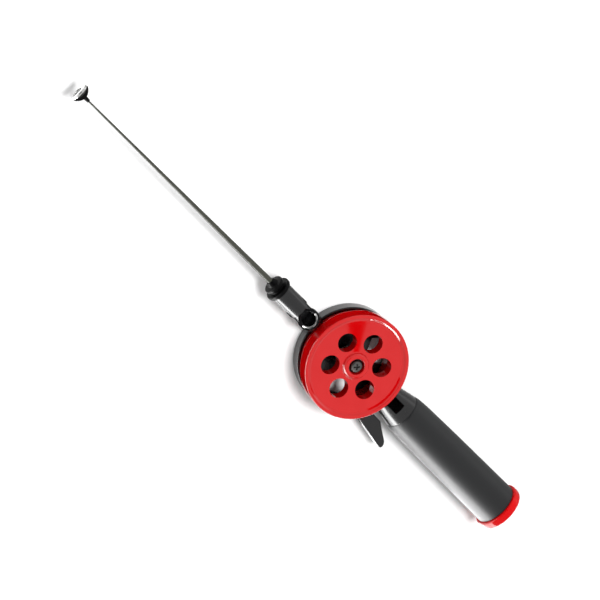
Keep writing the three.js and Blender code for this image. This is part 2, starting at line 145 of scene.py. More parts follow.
def turned(name, profile, facets=96, soft=0.3, closed=True):
    """Draws a ring of points out along a profile of (radius, height) points about Z."""
    axis_r = 0.001
    line = rounded(profile, soft, closed) if soft else [Vector(p) for p in profile]
    if closed:
        line.append(line[0])
    line = [(max(r, axis_r), z) for r, z in line]
    deselect()
    bpy.ops.mesh.primitive_circle_add(
        vertices=facets, radius=line[0][0] * MM, location=(0, 0, line[0][1] * MM)
    )
    obj = bpy.context.object
    obj.name = name
    settle(obj)
    edit(obj, "EDGE")
    for (r0, z0), (r1, z1) in zip(line, line[1:]):
        bpy.ops.mesh.extrude_edges_move(TRANSFORM_OT_translate={"value": (0, 0, (z1 - z0) * MM)})
        grow = r1 / r0
        bpy.ops.transform.resize(value=(grow, grow, 1), center_override=(0, 0, z1 * MM))
    leave()
    close_up(obj, 3e-6)
    return obj


def turned_on_rod(name, profile, facets=96, soft=0.3, closed=True):
    """Turns a profile of (x, radius) points about the rod's own axis."""
    obj = turned(name, [(r, x) for x, r in profile], facets, soft, closed)
    obj.rotation_euler = (0, math.pi / 2, 0)
    obj.location = (0, 0, ROD_Z * MM)
    settle(obj)
    return obj


def rod_of(name, radius, bottom, top, facets=64, place=(0, 0, 0), tilt=0.0):
    """A round bar, used to join or to drill. Its tilt is about Y."""
    deselect()
    bpy.ops.mesh.primitive_cylinder_add(
        vertices=facets, radius=radius * MM, depth=(top - bottom) * MM,
        location=(0, 0, (bottom + top) / 2 * MM),
    )
    obj = bpy.context.object
    obj.name = name
    settle(obj)
    obj.rotation_euler = (0, tilt, 0)
    obj.location = Vector(place) * MM
    settle(obj)
    return obj


def lean_forward(obj):
    """Leans a piece of the tip guide about the ring's own place."""
    place = Vector((TIP_RING_X, 0, ROD_Z)) * MM
    only(obj)
    obj.data.transform(Matrix.Translation(-place))
    obj.rotation_euler = (0, TIP_RING_LEAN, 0)
    obj.location = place
    settle(obj)
    return obj


def block(name, low, high):
    """A box between two corners, used to join or to cut."""
    low, high = Vector(low) * MM, Vector(high) * MM
    deselect()
    bpy.ops.mesh.primitive_cube_add(size=1, location=(low + high) / 2)
    obj = bpy.context.object
    obj.name = name
    obj.scale = high - low
    settle(obj)
    return obj


def flat_plate(name, outline, bottom, top, edge=0.0):
    """A ring of points laid on an outline, filled and drawn up, with its rims rounded."""
    deselect()
    bpy.ops.mesh.primitive_circle_add(
        vertices=len(outline), radius=MM, fill_type="NGON", location=(0, 0, bottom * MM)
    )
    obj = bpy.context.object
    obj.name = name
    settle(obj)
    for vertex, (x, y) in zip(obj.data.vertices, outline):
        vertex.co = (x * MM, y * MM, bottom * MM)
    edit(obj, "FACE")
    bpy.ops.mesh.extrude_region_move(
        TRANSFORM_OT_translate={"value": (0, 0, (top - bottom) * MM)}
    )
    leave()
    close_up(obj)
    if edge:
        round_rims(obj, edge)
    return obj


def level_edge(mesh, item):
    a, b = (mesh.vertices[v].co for v in item.vertices)
    return abs(a.z - b.z) < 1e-7


def round_rims(obj, edge, test=level_edge, steps=3):
    """Rounds the edges that pass the test."""
    edit_where(obj, "EDGE", test)
    bpy.ops.mesh.bevel(offset=edge * MM, segments=steps, affect="EDGES", clamp_overlap=True)
    leave()


def combine(obj, *tools, how="UNION"):
    """Joins solids to an object, or cuts them out of it."""
    for tool in tools:
        change = obj.modifiers.new("combine", "BOOLEAN")
        change.operation = how
        change.solver = "EXACT"
        change.object = tool
        apply_all(obj)
        bpy.data.objects.remove(tool)
    return obj


def cut(obj, *tools):
    return combine(obj, *tools, how="DIFFERENCE")


def bow(start, middle, end, steps=8):
    """Points on a bow from start to end that leans towards a middle point."""
    a, m, b = Vector(start), Vector(middle), Vector(end)
    ts = [(k + 1) / steps for k in range(steps)]
    return [a * (1 - t) ** 2 + m * 2 * t * (1 - t) + b * t**2 for t in ts]


def smooth(obj, angle=32, weigh=False):
    """Shades gentle bends smooth, and keeps wide flat faces flat where asked."""
    only(obj)
    bpy.ops.object.shade_smooth_by_angle(angle=math.radians(angle))
    if weigh:
        even = obj.modifiers.new("even", "WEIGHTED_NORMAL")
        even.keep_sharp = True
        even.weight = 100
        apply_all(obj)


def hand_over(obj, body, slot, material, *nodes, angle=32, weigh=False):
    """Shades a finished piece, gives it its finish and lets it ride on its body."""
    smooth(obj, angle, weigh)
    obj.data.materials.clear()
    obj.data.materials.append(material)
    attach(obj, body)
    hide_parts(*nodes)
    return obj


# ---- finishes ------------------------------------------------------------------------------------


class Number:
    """A number that changes over a surface. Sums on it add Math nodes."""

    def __init__(self, tree, socket):
        self.tree = tree
        self.socket = socket

    def sum(self, how, first, second):
        node = self.tree.nodes.new("ShaderNodeMath")
        node.operation = how
        for place, value in zip(node.inputs, (first, second)):
            connect(self.tree, place, value)
        return Number(self.tree, node.outputs[0])

    def __add__(self, other):
        return self.sum("ADD", self, other)

    def __radd__(self, other):
        return self.sum("ADD", other, self)

    def __sub__(self, other):
        return self.sum("SUBTRACT", self, other)

    def __rsub__(self, other):
        return self.sum("SUBTRACT", other, self)

    def __mul__(self, other):
        return self.sum("MULTIPLY", self, other)

    def __rmul__(self, other):
        return self.sum("MULTIPLY", other, self)

    def __pow__(self, other):
        return self.sum("POWER", self, other)

    def above(self, limit):
        return self.sum("GREATER_THAN", self, limit)


def connect(tree, place, value):
    """Links a node's output to a socket, or sets the socket's own value."""
    if isinstance(value, Number):
        tree.links.new(value.socket, place)
    else:
        place.default_value = value


class Finish:
    """A material: one shader with its constant values, and the nodes that vary it."""

    def __init__(self, name, **constants):
        self.material = bpy.data.materials.new(name)
        self.material.use_nodes = True
        self.tree = self.material.node_tree
        self.shader = self.tree.nodes["Principled BSDF"]
        for key, value in constants.items():
            self.shader.inputs[key.replace("_", " ")].default_value = value

    def node(self, kind, settings=None, inputs=None, output=0):
        """Any node: its type, its settings first, then its sockets."""
        node = self.tree.nodes.new("ShaderNode" + kind)
        for key, value in (settings or {}).items():
            if key == "stops":
                ramp = node.color_ramp.elements
                ramp[0].position, ramp[0].color = value[0]
                ramp[1].position, ramp[1].color = value[-1]
                for place, colour in value[1:-1]:
                    ramp.new(place).color = colour
            else:
                setattr(node, key, value)
        for key, value in (inputs or {}).items():
            connect(self.tree, node.inputs[key], value)
        return Number(self.tree, node.outputs[output])

    def place(self, stretch=(1, 1, 1), turn=(0, 0, 0)):
        """The surface's own place in metres, stretched and turned."""
        here = self.node("TexCoord", output="Object")
        return self.node(
            "Mapping", inputs={"Vector": here, "Scale": stretch, "Rotation": turn}
        )

    def noise(self, size, detail=2.0, where=None, rough=0.5):
        """Soft specks about this many millimetres across, from 0 to 1."""
        return self.node(
            "TexNoise",
            inputs={
                "Vector": where or self.place(),
                "Scale": 1 / (size * MM),
                "Detail": detail,
                "Roughness": rough,
            },
        )

    def steps(self, value, low, high):
        """Stretches a part of 0 to 1 over the whole range."""
        return self.node(
            "MapRange", inputs={"Value": value, "From Min": low, "From Max": high}
        )

    def blend(self, share, first, second):
        """A colour between two others."""
        return self.node(
            "Mix",
            {"data_type": "RGBA"},
            {"Factor": share, 6: (*first, 1.0), 7: (*second, 1.0)},
            output=2,
        )

    def vary(self, **values):
        for key, value in values.items():
            connect(self.tree, self.shader.inputs[key.replace("_", " ")], value)

    def relief(self, height, depth, strength=1.0):
        """Bumps of this depth in millimetres."""
        bump = self.node(
            "Bump", inputs={"Height": height, "Distance": depth * MM, "Strength": strength}
        )
        self.vary(Normal=bump)


def shade_of(colour, amount):
    return tuple(min(1.0, c * amount) for c in colour)


def moulded_black(name, colour, roughness, gloss=1.0):
    """Hard moulded plastic with a faint orange skin and a few soft scuffs."""
    finish = Finish(name, IOR=1.5, Coat_Roughness=0.06, Specular_IOR_Level=0.5 * gloss)
    flow = finish.noise(9.0, 3.0)
    skin = finish.noise(1.3, 2.0)
    grain = finish.noise(0.18, 1.0)
    scuff = finish.steps(
        finish.noise(0.5, 4.0, finish.place((0.12, 1, 1), (0, 0, 0.6))), 0.62, 0.78
    )
    finish.vary(
        Base_Color=finish.blend(flow, shade_of(colour, 0.8), shade_of(colour, 1.25)),
        Roughness=roughness + flow * 0.06 + grain * 0.05 + scuff * 0.12,
        Coat_Weight=gloss * (0.35 - scuff * 0.25),
    )
    finish.relief(skin + grain * 0.25, 0.006, 0.5)
    return finish.material


def soft_grip(name, colour):
    """Satin grip plastic with a fine spark-eroded grain."""
    finish = Finish(name, IOR=1.48)
    flow = finish.noise(14.0, 3.0)
    grain = finish.noise(0.32, 2.0, rough=0.7)
    pits = finish.node(
        "TexVoronoi", {"feature": "F1"}, {"Vector": finish.place(), "Scale": 1 / (0.42 * MM)}
    )
    finish.vary(
        Base_Color=finish.blend(
            finish.steps(grain, 0.3, 0.7), shade_of(colour, 0.8), shade_of(colour, 1.3)
        ),
        Roughness=0.37 + flow * 0.06 + grain * 0.08,
    )
    finish.relief(grain + pits * 0.5, 0.03, 0.35)
    return finish.material


def glossy_red(name, colour, glow, roughness, gloss=1.0):
    """Bright moulded plastic under a clear skin, a little see-through in depth."""
    finish = Finish(
        name,
        IOR=1.5,
        Coat_Roughness=0.04,
        Specular_IOR_Level=0.5 * gloss,
        Subsurface_Weight=glow,
        Subsurface_Radius=(1.0, 0.12, 0.08),
        Subsurface_Scale=0.0022,
    )
    flow = finish.noise(11.0, 3.0)
    skin = finish.noise(2.2, 2.0)
    specks = finish.noise(0.25, 1.0)
    finish.vary(
        Base_Color=finish.blend(flow, shade_of(colour, 0.94), shade_of(colour, 1.06)),
        Roughness=roughness + flow * 0.03 + specks * 0.02,
        Coat_Weight=gloss * (0.25 + flow * 0.3),
    )
    finish.relief(skin + specks * 0.1, 0.005, 0.45)
    return finish.material


def whip_fibre(name, colour):
    """Solid glass fibre: long fine strands along the rod under a thin varnish."""
    finish = Finish(name, IOR=1.52, Coat_Roughness=0.2, Specular_IOR_Level=0.3)
    strands = finish.noise(0.16, 3.0, finish.place((0.02, 1, 1)), rough=0.6)
    bands = finish.noise(18.0, 2.0, finish.place((1, 0.1, 0.1)))
    finish.vary(
        Base_Color=finish.blend(
            finish.steps(strands, 0.35, 0.65), shade_of(colour, 0.6), shade_of(colour, 1.5)
        ),
        Roughness=0.42 + strands * 0.16,
        Coat_Weight=0.05 + bands * 0.1,
    )
    finish.relief(strands, 0.012, 0.5)
    return finish.material


def worked_metal(name, colour, roughness, wear, size=0.5):
    """Metal with fine working marks and slightly uneven polish."""
    finish = Finish(name, Metallic=1.0)
    cloud = finish.noise(2.4, 3.0)
    marks = finish.noise(size * 0.12, 2.0, finish.place((1, 1, 9)))
    finish.vary(
        Base_Color=finish.blend(cloud, shade_of(colour, 0.82), shade_of(colour, 1.15)),
        Roughness=roughness + marks * wear + cloud * wear * 0.5,
    )
    finish.relief(marks, 0.004, 0.4)
    return finish.material


def pressed_felt(name, colour):
    """Felt: short crossing hairs, no gloss."""
    finish = Finish(name, Roughness=0.95, Sheen_Weight=0.4, Sheen_Roughness=0.6)
    hairs = finish.noise(0.12, 4.0, finish.place((1, 0.3, 1), (0, 0, 0.8)), rough=0.7)
    clumps = finish.noise(0.9, 2.0)
    finish.vary(
        Base_Color=finish.blend(
            hairs * 0.7 + clumps * 0.3, shade_of(colour, 0.55), shade_of(colour, 1.35)
        )
    )
    finish.relief(hairs, 0.08, 0.8)
    return finish.material


FINISHES = {}


def finish_of(name):
    """Each finish is mixed once, from the colours in the panel."""
    colours = bpy.context.scene.rod_colours
    recipes = {
        "frame_black": lambda n: moulded_black(n, colours.frame, 0.2),
        "plug_black": lambda n: moulded_black(n, shade_of(colours.frame, 0.3), 0.3, 0.16),
        "lever_black": lambda n: moulded_black(n, shade_of(colours.frame, 0.8), 0.24),
        "grip_grey": lambda n: soft_grip(n, colours.grip),
        "spool_red": lambda n: glossy_red(n, colours.spool, 0.0, 0.03),
        "drum_red": lambda n: glossy_red(n, shade_of(colours.spool, 0.8), 0.0, 0.2),
        "cap_red": lambda n: glossy_red(n, colours.cap, 0.1, 0.12, 0.3),
        "whip_fibre": lambda n: whip_fibre(n, colours.whip),
        "ring_steel": lambda n: worked_metal(n, (0.78, 0.78, 0.77), 0.07, 0.08),
        "turned_steel": lambda n: worked_metal(n, (0.58, 0.58, 0.57), 0.2, 0.2),
        # Painted shade: the axle washer's steel is coloured near black with a red tint, so that it reads as the
        # shadowed gap round the screw head.
        "washer_painted_shade": lambda n: worked_metal(n, (0.045, 0.03, 0.03), 0.35, 0.2),
        "black_steel": lambda n: worked_metal(n, (0.16, 0.155, 0.15), 0.2, 0.2),
        "bush_brass": lambda n: worked_metal(n, (0.72, 0.5, 0.2), 0.22, 0.2),
        "washer_felt": lambda n: pressed_felt(n, (0.3, 0.27, 0.22)),
    }
    if name not in FINISHES:
        FINISHES[name] = recipes[name](name)
    return FINISHES[name]


# ---- what a user would change --------------------------------------------------------------------


class RodShape(bpy.types.PropertyGroup):
    """Sizes that the visible pieces leave open."""

    edge: FloatProperty(
        name="Edge rounding", description="Round on the moulded pieces' edges",
        default=0.0004, min=0.0001, max=0.001, unit="LENGTH",
    )
    dish: FloatProperty(
        name="Face dish", description="How much lower the spool's face is at its hub",
        default=0.001, min=0.0, max=0.0012, unit="LENGTH",
    )
    facets: IntProperty(
        name="Facets", description="Facets round the spool and the frame's dish",
        default=144, min=48, max=256,
    )
    coils: IntProperty(
        name="Spring coils", description="Turns of the trigger's return spring",
        default=4, min=3, max=8,
    )


class RodColours(bpy.types.PropertyGroup):
    """The colours of the pieces."""

    spool: FloatVectorProperty(
        name="Spool", description="Colour of the spool", subtype="COLOR", size=3,
        default=(0.53, 0.001, 0.002), min=0, max=1,
    )
    cap: FloatVectorProperty(
        name="Butt cap", description="Colour of the butt cap", subtype="COLOR", size=3,
        default=(0.58, 0.001, 0.002), min=0, max=1,
    )
    frame: FloatVectorProperty(
        name="Frame", description="Colour of the frame, the lever and the tip tube",
        subtype="COLOR", size=3, default=(0.0045, 0.0045, 0.005), min=0, max=1,
    )
    grip: FloatVectorProperty(
        name="Grip", description="Colour of the grip", subtype="COLOR", size=3,
        default=(0.009, 0.0094, 0.0102), min=0, max=1,
    )
    whip: FloatVectorProperty(
        name="Whip", description="Colour of the whip's glass fibre", subtype="COLOR", size=3,
        default=(0.045, 0.046, 0.036), min=0, max=1,
    )


class RodStudio(bpy.types.PropertyGroup):
    """The studio round the rod."""

    tilt: FloatProperty(
        name="Camera tilt", description="Lean of the camera from straight above towards the tip",
        default=math.radians(29), subtype="ANGLE",
    )
    roll: FloatProperty(
        name="Camera roll", description="Turn of the rod in the view from the diagonal",
        default=math.radians(-0.25), subtype="ANGLE",
    )
    distance: FloatProperty(
        name="Camera distance", description="From the camera to the aim point",
        default=15.0, unit="LENGTH",
    )
    width: FloatProperty(
        name="View width", description="Width of what the camera sees at the aim point",
        default=0.3358, unit="LENGTH",
    )
    key: FloatProperty(
        name="Key light", description="Strength of the soft overhead light", default=2.6,
    )
    card: FloatProperty(
        name="Bright card", description="Strength of the low card that the gloss reflects",
        default=6.0,
    )


# ---- pieces --------------------------------------------------------------------------------------


def sizes():
    return bpy.context.scene.rod_shape


def edge_mm():
    return sizes().edge / MM


def on_hole_ring(angle):
    return (HOLE_RING * math.cos(angle), HOLE_RING * math.sin(angle), 0)


def hole_angles():
    return [HOLE_PHASE + k * math.tau / SPOKES for k in range(SPOKES)]


class PieceOperator(bpy.types.Operator):
    """What every piece's operator has in common."""

    bl_options = {"REGISTER", "UNDO"}

    def execute(self, context):
        self.make()
        return {"FINISHED"}


class ROD_OT_frame(PieceOperator):
    """The reel frame in one moulding: dish, neck, guide boss and nose"""

    bl_idname = "rod.frame"
    bl_label = "Reel Frame"

    def dish(self):
        wall, top, edge = 1.5, 7.0, 0.7
        rim = 30.0
        profile = rounded([(0, 0), (rim, 0), (rim, top), (rim - wall, top), (rim - wall, 2.2),
                           (6.5, 2.2), (6.5, 4.6), (0, 4.6)], edge, closed=False)
        return turned("reel_frame", profile, sizes().facets, soft=0, closed=False)

    def neck(self):
        tube = turned_on_rod("neck", [(-26, 0), (-26, 7.9), (-33, 8.7), (-37, 9.5), (-41, 10.25),
                                      (-44.6, 10.9), (-44.6, 7.9), (-58, 7.9), (-58, 0)],
                             soft=0.35, closed=False)
        side = flat_plate("web", rounded([(-26, 0), (-33, 0), (-44.3, 5.2), (-44.3, 12), (-26, 12)],
                                         0.8), -7, 7)
        side.rotation_euler = (math.pi / 2, 0, 0)
        settle(side)
        close_up(side)
        ear = rod_of("ear", 4.6, 0, 2.75, 64, (*PIVOT, 0))
        return tube, side, ear

    def nose(self):
        boss = rod_of("boss", 6.35, -16, 0, 96, GUIDE_PLACE, GUIDE_TILT)
        stem = turned_on_rod("stem", [(36, 0), (36, 5.5), (48, 5.5), (48, 4.8), (53, 4.8), (53, 0)],
                             soft=0.3, closed=False)
        web = flat_plate("rib", [(27, 0), (31, 0), (42, 9.5), (42, 13), (27, 10)], -4.5, 4.5)
        web.rotation_euler = (math.pi / 2, 0, 0)
        settle(web)
        close_up(web)
        return boss, stem, web

    def hood(self):
        """A half collar over the guide ring's tip side, which keeps the ring in its seat."""
        far = 60
        collar = turned("hood", [(4.15, 0.45), (5.35, 0.45), (5.35, -0.4), (6.35, -0.4), (6.35, 1.9),
                                 (4.15, 1.9)], 96, 0.2)
        cut(collar, block("spool_side", (-far, -far, -far), (-0.6, far, far)))
        collar.rotation_euler = (0, GUIDE_TILT, 0)
        collar.location = Vector(GUIDE_PLACE) * MM
        settle(collar)
        close_up(collar)
        return collar

    def rooms(self):
        far = 60
        spool = turned("room", [(6.5, 2.2), (28.5, 2.2), (28.5, 12.6), (31.9, 12.6), (31.9, far),
                                (0, far), (0, 4.6), (6.5, 4.6)], sizes().facets, soft=0.3,
                       closed=False)
        bore = rod_of("bore", 4.15, -11, far, 96, GUIDE_PLACE, GUIDE_TILT)
        seat = rod_of("seat", 5.35, -2.25, far, 96, GUIDE_PLACE, GUIDE_TILT)
        slot = block("slot", (26.5, -3.2, 7.4), (37, 3.2, 12.4))
        notch = rod_of("notch", 8.8, 2.75, 30, 96, (*PIVOT, 0))
        pin = rod_of("pin", 1.5, 0.7, 30, 32, (*PIVOT, 0))
        spring = block("pocket", (-39.2, 4, 6), (-32.4, far, 10.4))
        window = block("window", (-38.6, -3.4, 8.4), (-26, 3.4, far))
        nut = rod_of("nut_pocket", 4.1, 1.2, 5.6, 6)
        screw = rod_of("screw_hole", 1.1, -far, 6.2, 32, (GRIP_SCREW_X, 0, ROD_Z))
        return spool, bore, seat, slot, notch, pin, spring, window, nut, screw

    def back_window(self, side):
        points = [(-21.5, 11), (-17.5, 16.5), (-8.5, 20.5), (-5, 17.5), (-8.5, 10.5), (-15, 7.5)]
        outline = rounded([(x, side * y) for x, y in points], 1.2)
        return flat_plate("back_window", outline, -60, 2.7)

    def make(self):
        body = self.dish()
        combine(body, *self.neck(), *self.nose())
        cut(body, *self.rooms(), self.back_window(1), self.back_window(-1))
        combine(body, self.hood())
        cut(body, block("table", (-90, -60, -30), (90, 60, 0)))
        close_up(body, 1e-6)
        hand_over(body, "frame", "frame_plastic", finish_of("frame_black"), "frame_body",
                  weigh=True)


class ROD_OT_spool_front(PieceOperator):
    """The spool's dished front with its lip, hub, six holes and ribs"""

    bl_idname = "rod.spool_front"
    bl_label = "Spool Front"

    def shell(self):
        low = 20.6
        high = low + sizes().dish / MM
        profile = [(4.02, 6), (6, 6), (6, 18.6), (29.2, 18.6), (29.2, 14), (31, 14), (31, 23),
                   (29.2, 23), (28.2, high + 0.5), (27.1, high), (7.9, low), (7.6, 21.7), (6.8, 22.6), (4.6, 22.6),
                   (4.6, 19.55), (4.02, 19.55)]
        return turned("spool_front_red", profile, sizes().facets, soft=0.55)

    def ribs(self):
        half = 0.55
        made = []
        for angle in hole_angles():
            rib = block("rib", (5.5, -half, 16), (28.9, half, 20.1))
            rib.rotation_euler = (0, 0, angle + math.pi / SPOKES)
            settle(rib)
            made.append(rib)
        return made

    def make(self):
        body = self.shell()
        walls = [rod_of("wall", 6.65, 14.8, 20.1, 64, on_hole_ring(a)) for a in hole_angles()]
        combine(body, *walls, *self.ribs())
        cut(body, *[rod_of("hole", 5.65, 0, 40, 64, on_hole_ring(a)) for a in hole_angles()])
        close_up(body, 1e-6)
        self.round_holes(body)
        hand_over(body, "spool", "spool_plastic", finish_of("spool_red"), "spool_front",
                  weigh=True)

    def round_holes(self, body):
        centres = [Vector(on_hole_ring(a)) * MM for a in hole_angles()]
        radius, face = 5.65 * MM, 20 * MM

        def rim(mesh, item):
            ends = [mesh.vertices[v].co for v in item.vertices]
            if min(e.z for e in ends) < face:
                return False
            return any(
                all(abs((e - c).xy.length - radius) < 2e-5 for e in ends) for c in centres
            )

        round_rims(body, 0.35, rim)


class ROD_OT_spool_back(PieceOperator):
    """The spool's back with the line drum, the rear flange and the ratchet teeth"""

    bl_idname = "rod.spool_back"
    bl_label = "Spool Back"

    def ratchet(self):
        teeth, phase, steep = 24, math.radians(11), 0.12
        points = []
        for k in range(teeth):
            tip = phase + k * math.tau / teeth
            foot = tip + steep * math.tau / teeth
            points.append((25.2 * math.cos(tip), 25.2 * math.sin(tip)))
            points.append((24.2 * math.cos(foot), 24.2 * math.sin(foot)))
        ring = flat_plate("ratchet", rounded(points, 0.15), 3, 5.6)
        return cut(ring, rod_of("inside", 23.4, 0, 60, sizes().facets))

    def make(self):
        drum = turned("spool_back_red", [
            (23.4, 5.4), (27.6, 5.4), (27.6, 6.4), (25, 7.3), (25, 13), (29.1, 14), (29.1, 15.3),
            (23.4, 15.3)], sizes().facets, soft=0.3)
        combine(drum, self.ratchet())
        close_up(drum, 1e-6)
        hand_over(drum, "spool", "spool_plastic", finish_of("drum_red"), "spool_back", weigh=True)


def cross_recess(top, reach, depth, up=1):
    """A cross for a screwdriver, narrower towards its floor."""
    half = 0.5
    arms = []
    for k in range(2):
        arm = block("recess", (-reach, -half, top - depth), (reach, half, top + 1))
        edit_where(arm, "FACE", lambda mesh, face: face.normal.z < -0.5)
        bpy.ops.transform.resize(value=(0.62, 0.7, 1), center_override=(0, 0, 0))
        leave()
        arm.rotation_euler = (0, 0, math.pi / 4 + k * math.pi / 2)
        arm.scale = (1, 1, up)
        settle(arm)
        close_up(arm)
        arms.append(arm)
    return arms


class ROD_OT_axle(PieceOperator):
    """The axle stack: nut, sleeve, felt, bush, washer and the screw with its cross recess"""

    bl_idname = "rod.axle"
    bl_label = "Axle Stack"

    def stack(self):
        nut = rod_of("axle_nut_steel", 4, 1.3, 4.4, 6)
        cut(nut, rod_of("thread", 1.95, -1, 60, 32))
        round_rims(nut, 0.15, lambda mesh, item: level_edge(mesh, item), 2)
        hand_over(nut, "frame", "steel", finish_of("turned_steel"), "axle_nut")
        sleeve = turned("axle_sleeve_steel", [(2, 4.6), (6.2, 4.6), (6.2, 5.2), (3, 5.2), (3, 19.6),
                                              (2, 19.6)], 64, 0.15)
        hand_over(sleeve, "frame", "steel", finish_of("turned_steel"), "axle_sleeve")
        felt = turned("felt_washer", [(3.1, 5.2), (5.8, 5.2), (5.8, 5.9), (3.1, 5.9)], 64, 0.2)
        hand_over(felt, "frame", "felt", finish_of("washer_felt"), "friction_washer")
        bush = turned("hub_bush_brass", [(3.06, 5.95), (4, 5.95), (4, 19.5), (3.06, 19.5)], 64, 0.15)
        hand_over(bush, "spool", "brass", finish_of("bush_brass"), "hub_bush")
        # The washer's near-black reddish finish is painted shade standing for the shadowed gap round the screw
        # head.
        washer = turned("axle_washer_steel", [(2, 19.6), (4.3, 19.6), (4.3, 20.3), (2, 20.3)], 64,
                        0.15)
        hand_over(washer, "frame", "steel", finish_of("washer_painted_shade"), "axle_washer")

    def make(self):
        self.stack()
        screw = turned("axle_screw_black", [
            (0, 1.6), (1.9, 1.6), (1.9, 20.32), (3.4, 20.32), (3.4, 21.7), (3.1, 22.2), (2.5, 22.5),
            (1.5, 22.68), (0, 22.7)], 64, 0.2, closed=False)
        cut(screw, *cross_recess(22.7, 2.2, 1.5))
        close_up(screw, 1e-6)
        hand_over(screw, "drag_screw", "dark_steel", finish_of("black_steel"), "axle_screw")


class ROD_OT_trigger(PieceOperator):
    """The trigger lever with its pawl, its pin and its return spring"""

    bl_idname = "rod.trigger"
    bl_label = "Trigger"

    def finger_plate(self):
        outline = [Vector((-27.4, 19.4)), Vector((-52.1, 23.3))]
        outline += bow((-52.1, 23.3), (-54.2, 23), (-53.4, 20.6))
        outline += bow((-53.4, 20.6), (-52.6, 18.9), (-51.2, 18.2))
        outline += bow((-51.2, 18.2), (-45.4, 15), (-41.2, 12.2))
        outline += [Vector((-30.4, 12.1))]
        outline += bow((-30.4, 12.1), (-28.4, 12.2), (-28.2, 13.6))
        return flat_plate("trigger_lever_black", rounded(outline, 0.6), 3.3, 12, edge_mm() * 1.3)

    def pawl_arm(self):
        points = [(-29.6, 13.2), (-26.4, 19.3), (-21, 18.3), (-17.9, 18.4), (-17.1, 17.5),
                  (-18.6, 16.9), (-21.4, 16.1), (-25.4, 14.2)]
        return flat_plate("arm", rounded(points, 0.4), 2.9, 5, 0.2)

    def spring(self):
        turns = sizes().coils
        length, radius = 4.8 * MM, 1.4 * MM
        deselect()
        bpy.ops.mesh.primitive_circle_add(vertices=14, radius=0.3 * MM, location=(radius, 0, 0),
                                          rotation=(math.pi / 2, 0, 0))
        coil = bpy.context.object
        coil.name = "trigger_spring_steel"
        settle(coil)
        wind = coil.modifiers.new("wind", "SCREW")
        wind.axis = "Z"
        wind.angle = turns * math.tau
        wind.screw_offset = length
        wind.steps = wind.render_steps = turns * 28
        wind.use_merge_vertices = True
        apply_all(coil)
        edit_where(coil, "EDGE", lambda mesh, item: item.index in open_edges(mesh))
        bpy.ops.mesh.fill()
        leave()
        coil.rotation_euler = (math.pi / 2, 0, 0)
        coil.location = Vector((-35.9, 11.6, 8.2)) * MM
        settle(coil)
        close_up(coil, 1e-7)
        return coil

    def make(self):
        lever = self.finger_plate()
        combine(lever, self.pawl_arm())
        cut(lever, rod_of("pin_bore", 1.51, -1, 40, 48, (*PIVOT, 0)))
        close_up(lever, 1e-6)
        hand_over(lever, "trigger", "frame_plastic", finish_of("lever_black"), "trigger_lever",
                  weigh=True)
        pin = turned("trigger_pin_steel", [(0, 0.8), (1.45, 0.8), (1.45, 12.1), (2.5, 12.1),
                                           (2.5, 12.6), (1.9, 12.9), (0, 12.9)], 48, 0.15,
                     closed=False)
        pin.location = (PIVOT[0] * MM, PIVOT[1] * MM, 0)
        settle(pin)
        hand_over(pin, "frame", "steel", finish_of("turned_steel"), "trigger_pin")
        hand_over(self.spring(), "trigger", "steel", finish_of("turned_steel"), "trigger_spring",
                  angle=60)


def open_edges(mesh):
    """Numbers of the edges that have a face on only one side."""
    count = {}
    for face in mesh.polygons:
        for key in face.edge_keys:
            count[key] = count.get(key, 0) + 1
    return {e.index for e in mesh.edges if count.get(tuple(sorted(e.vertices)), 0) == 1}


class ROD_OT_line_guide(PieceOperator):
    """The polished ring that the line runs through beside the spool"""

    bl_idname = "rod.line_guide"
    bl_label = "Line Guide Ring"

    def make(self):
        ring = turned("line_guide_polished", [(4.15, -2.2), (5.3, -2.2), (5.3, 0), (4.95, 0.35),
                                              (4.5, 0.35), (4.15, 0)], 96, 0.3)
        ring.rotation_euler = (0, GUIDE_TILT, 0)
        ring.location = Vector(GUIDE_PLACE) * MM
        settle(ring)
        hand_over(ring, "frame", "polished_steel", finish_of("ring_steel"), "line_guide_ring")


class ROD_OT_whip(PieceOperator):
    """The tip tube, the whip's plug with its two flanges, and the tapered whip"""

    bl_idname = "rod.whip"
    bl_label = "Tip Tube and Whip"

    def make(self):
        tube = turned_on_rod("tip_tube_black", [(48, 4.9), (48, 6.25), (65, 6.25), (65, 4.9)],
                             96, 0.45)
        hand_over(tube, "frame", "frame_plastic", finish_of("frame_black"), "tip_tube")
        plug = turned_on_rod("whip_plug_black", [
            (54, 1.82), (54, 4.8), (65, 4.8), (65, 7.6), (67.3, 7.6), (67.3, 4.5), (69.1, 4.5),
            (69.1, 5.9), (71, 5.9), (71.2, 3.3), (73.1, 2.7), (74, 2.2), (74, 1.82)],
            96, 0.55)
        hand_over(plug, "whip", "frame_plastic", finish_of("plug_black"), "whip_plug")
        root, end = 1.78, 0.52
        stations = 16
        taper = [(74 + (240.2 - 74) * k / stations, root + (end - root) * k / stations)
                 for k in range(stations + 1)]
        whip = turned_on_rod("whip_fibre_rod", [(57, 0), (57, root), *taper, (240.4, 0.35),
                                                (240.4, 0)], 40, 0.1, closed=False)
        hand_over(whip, "whip", "whip", finish_of("whip_fibre"), "whip_blank")


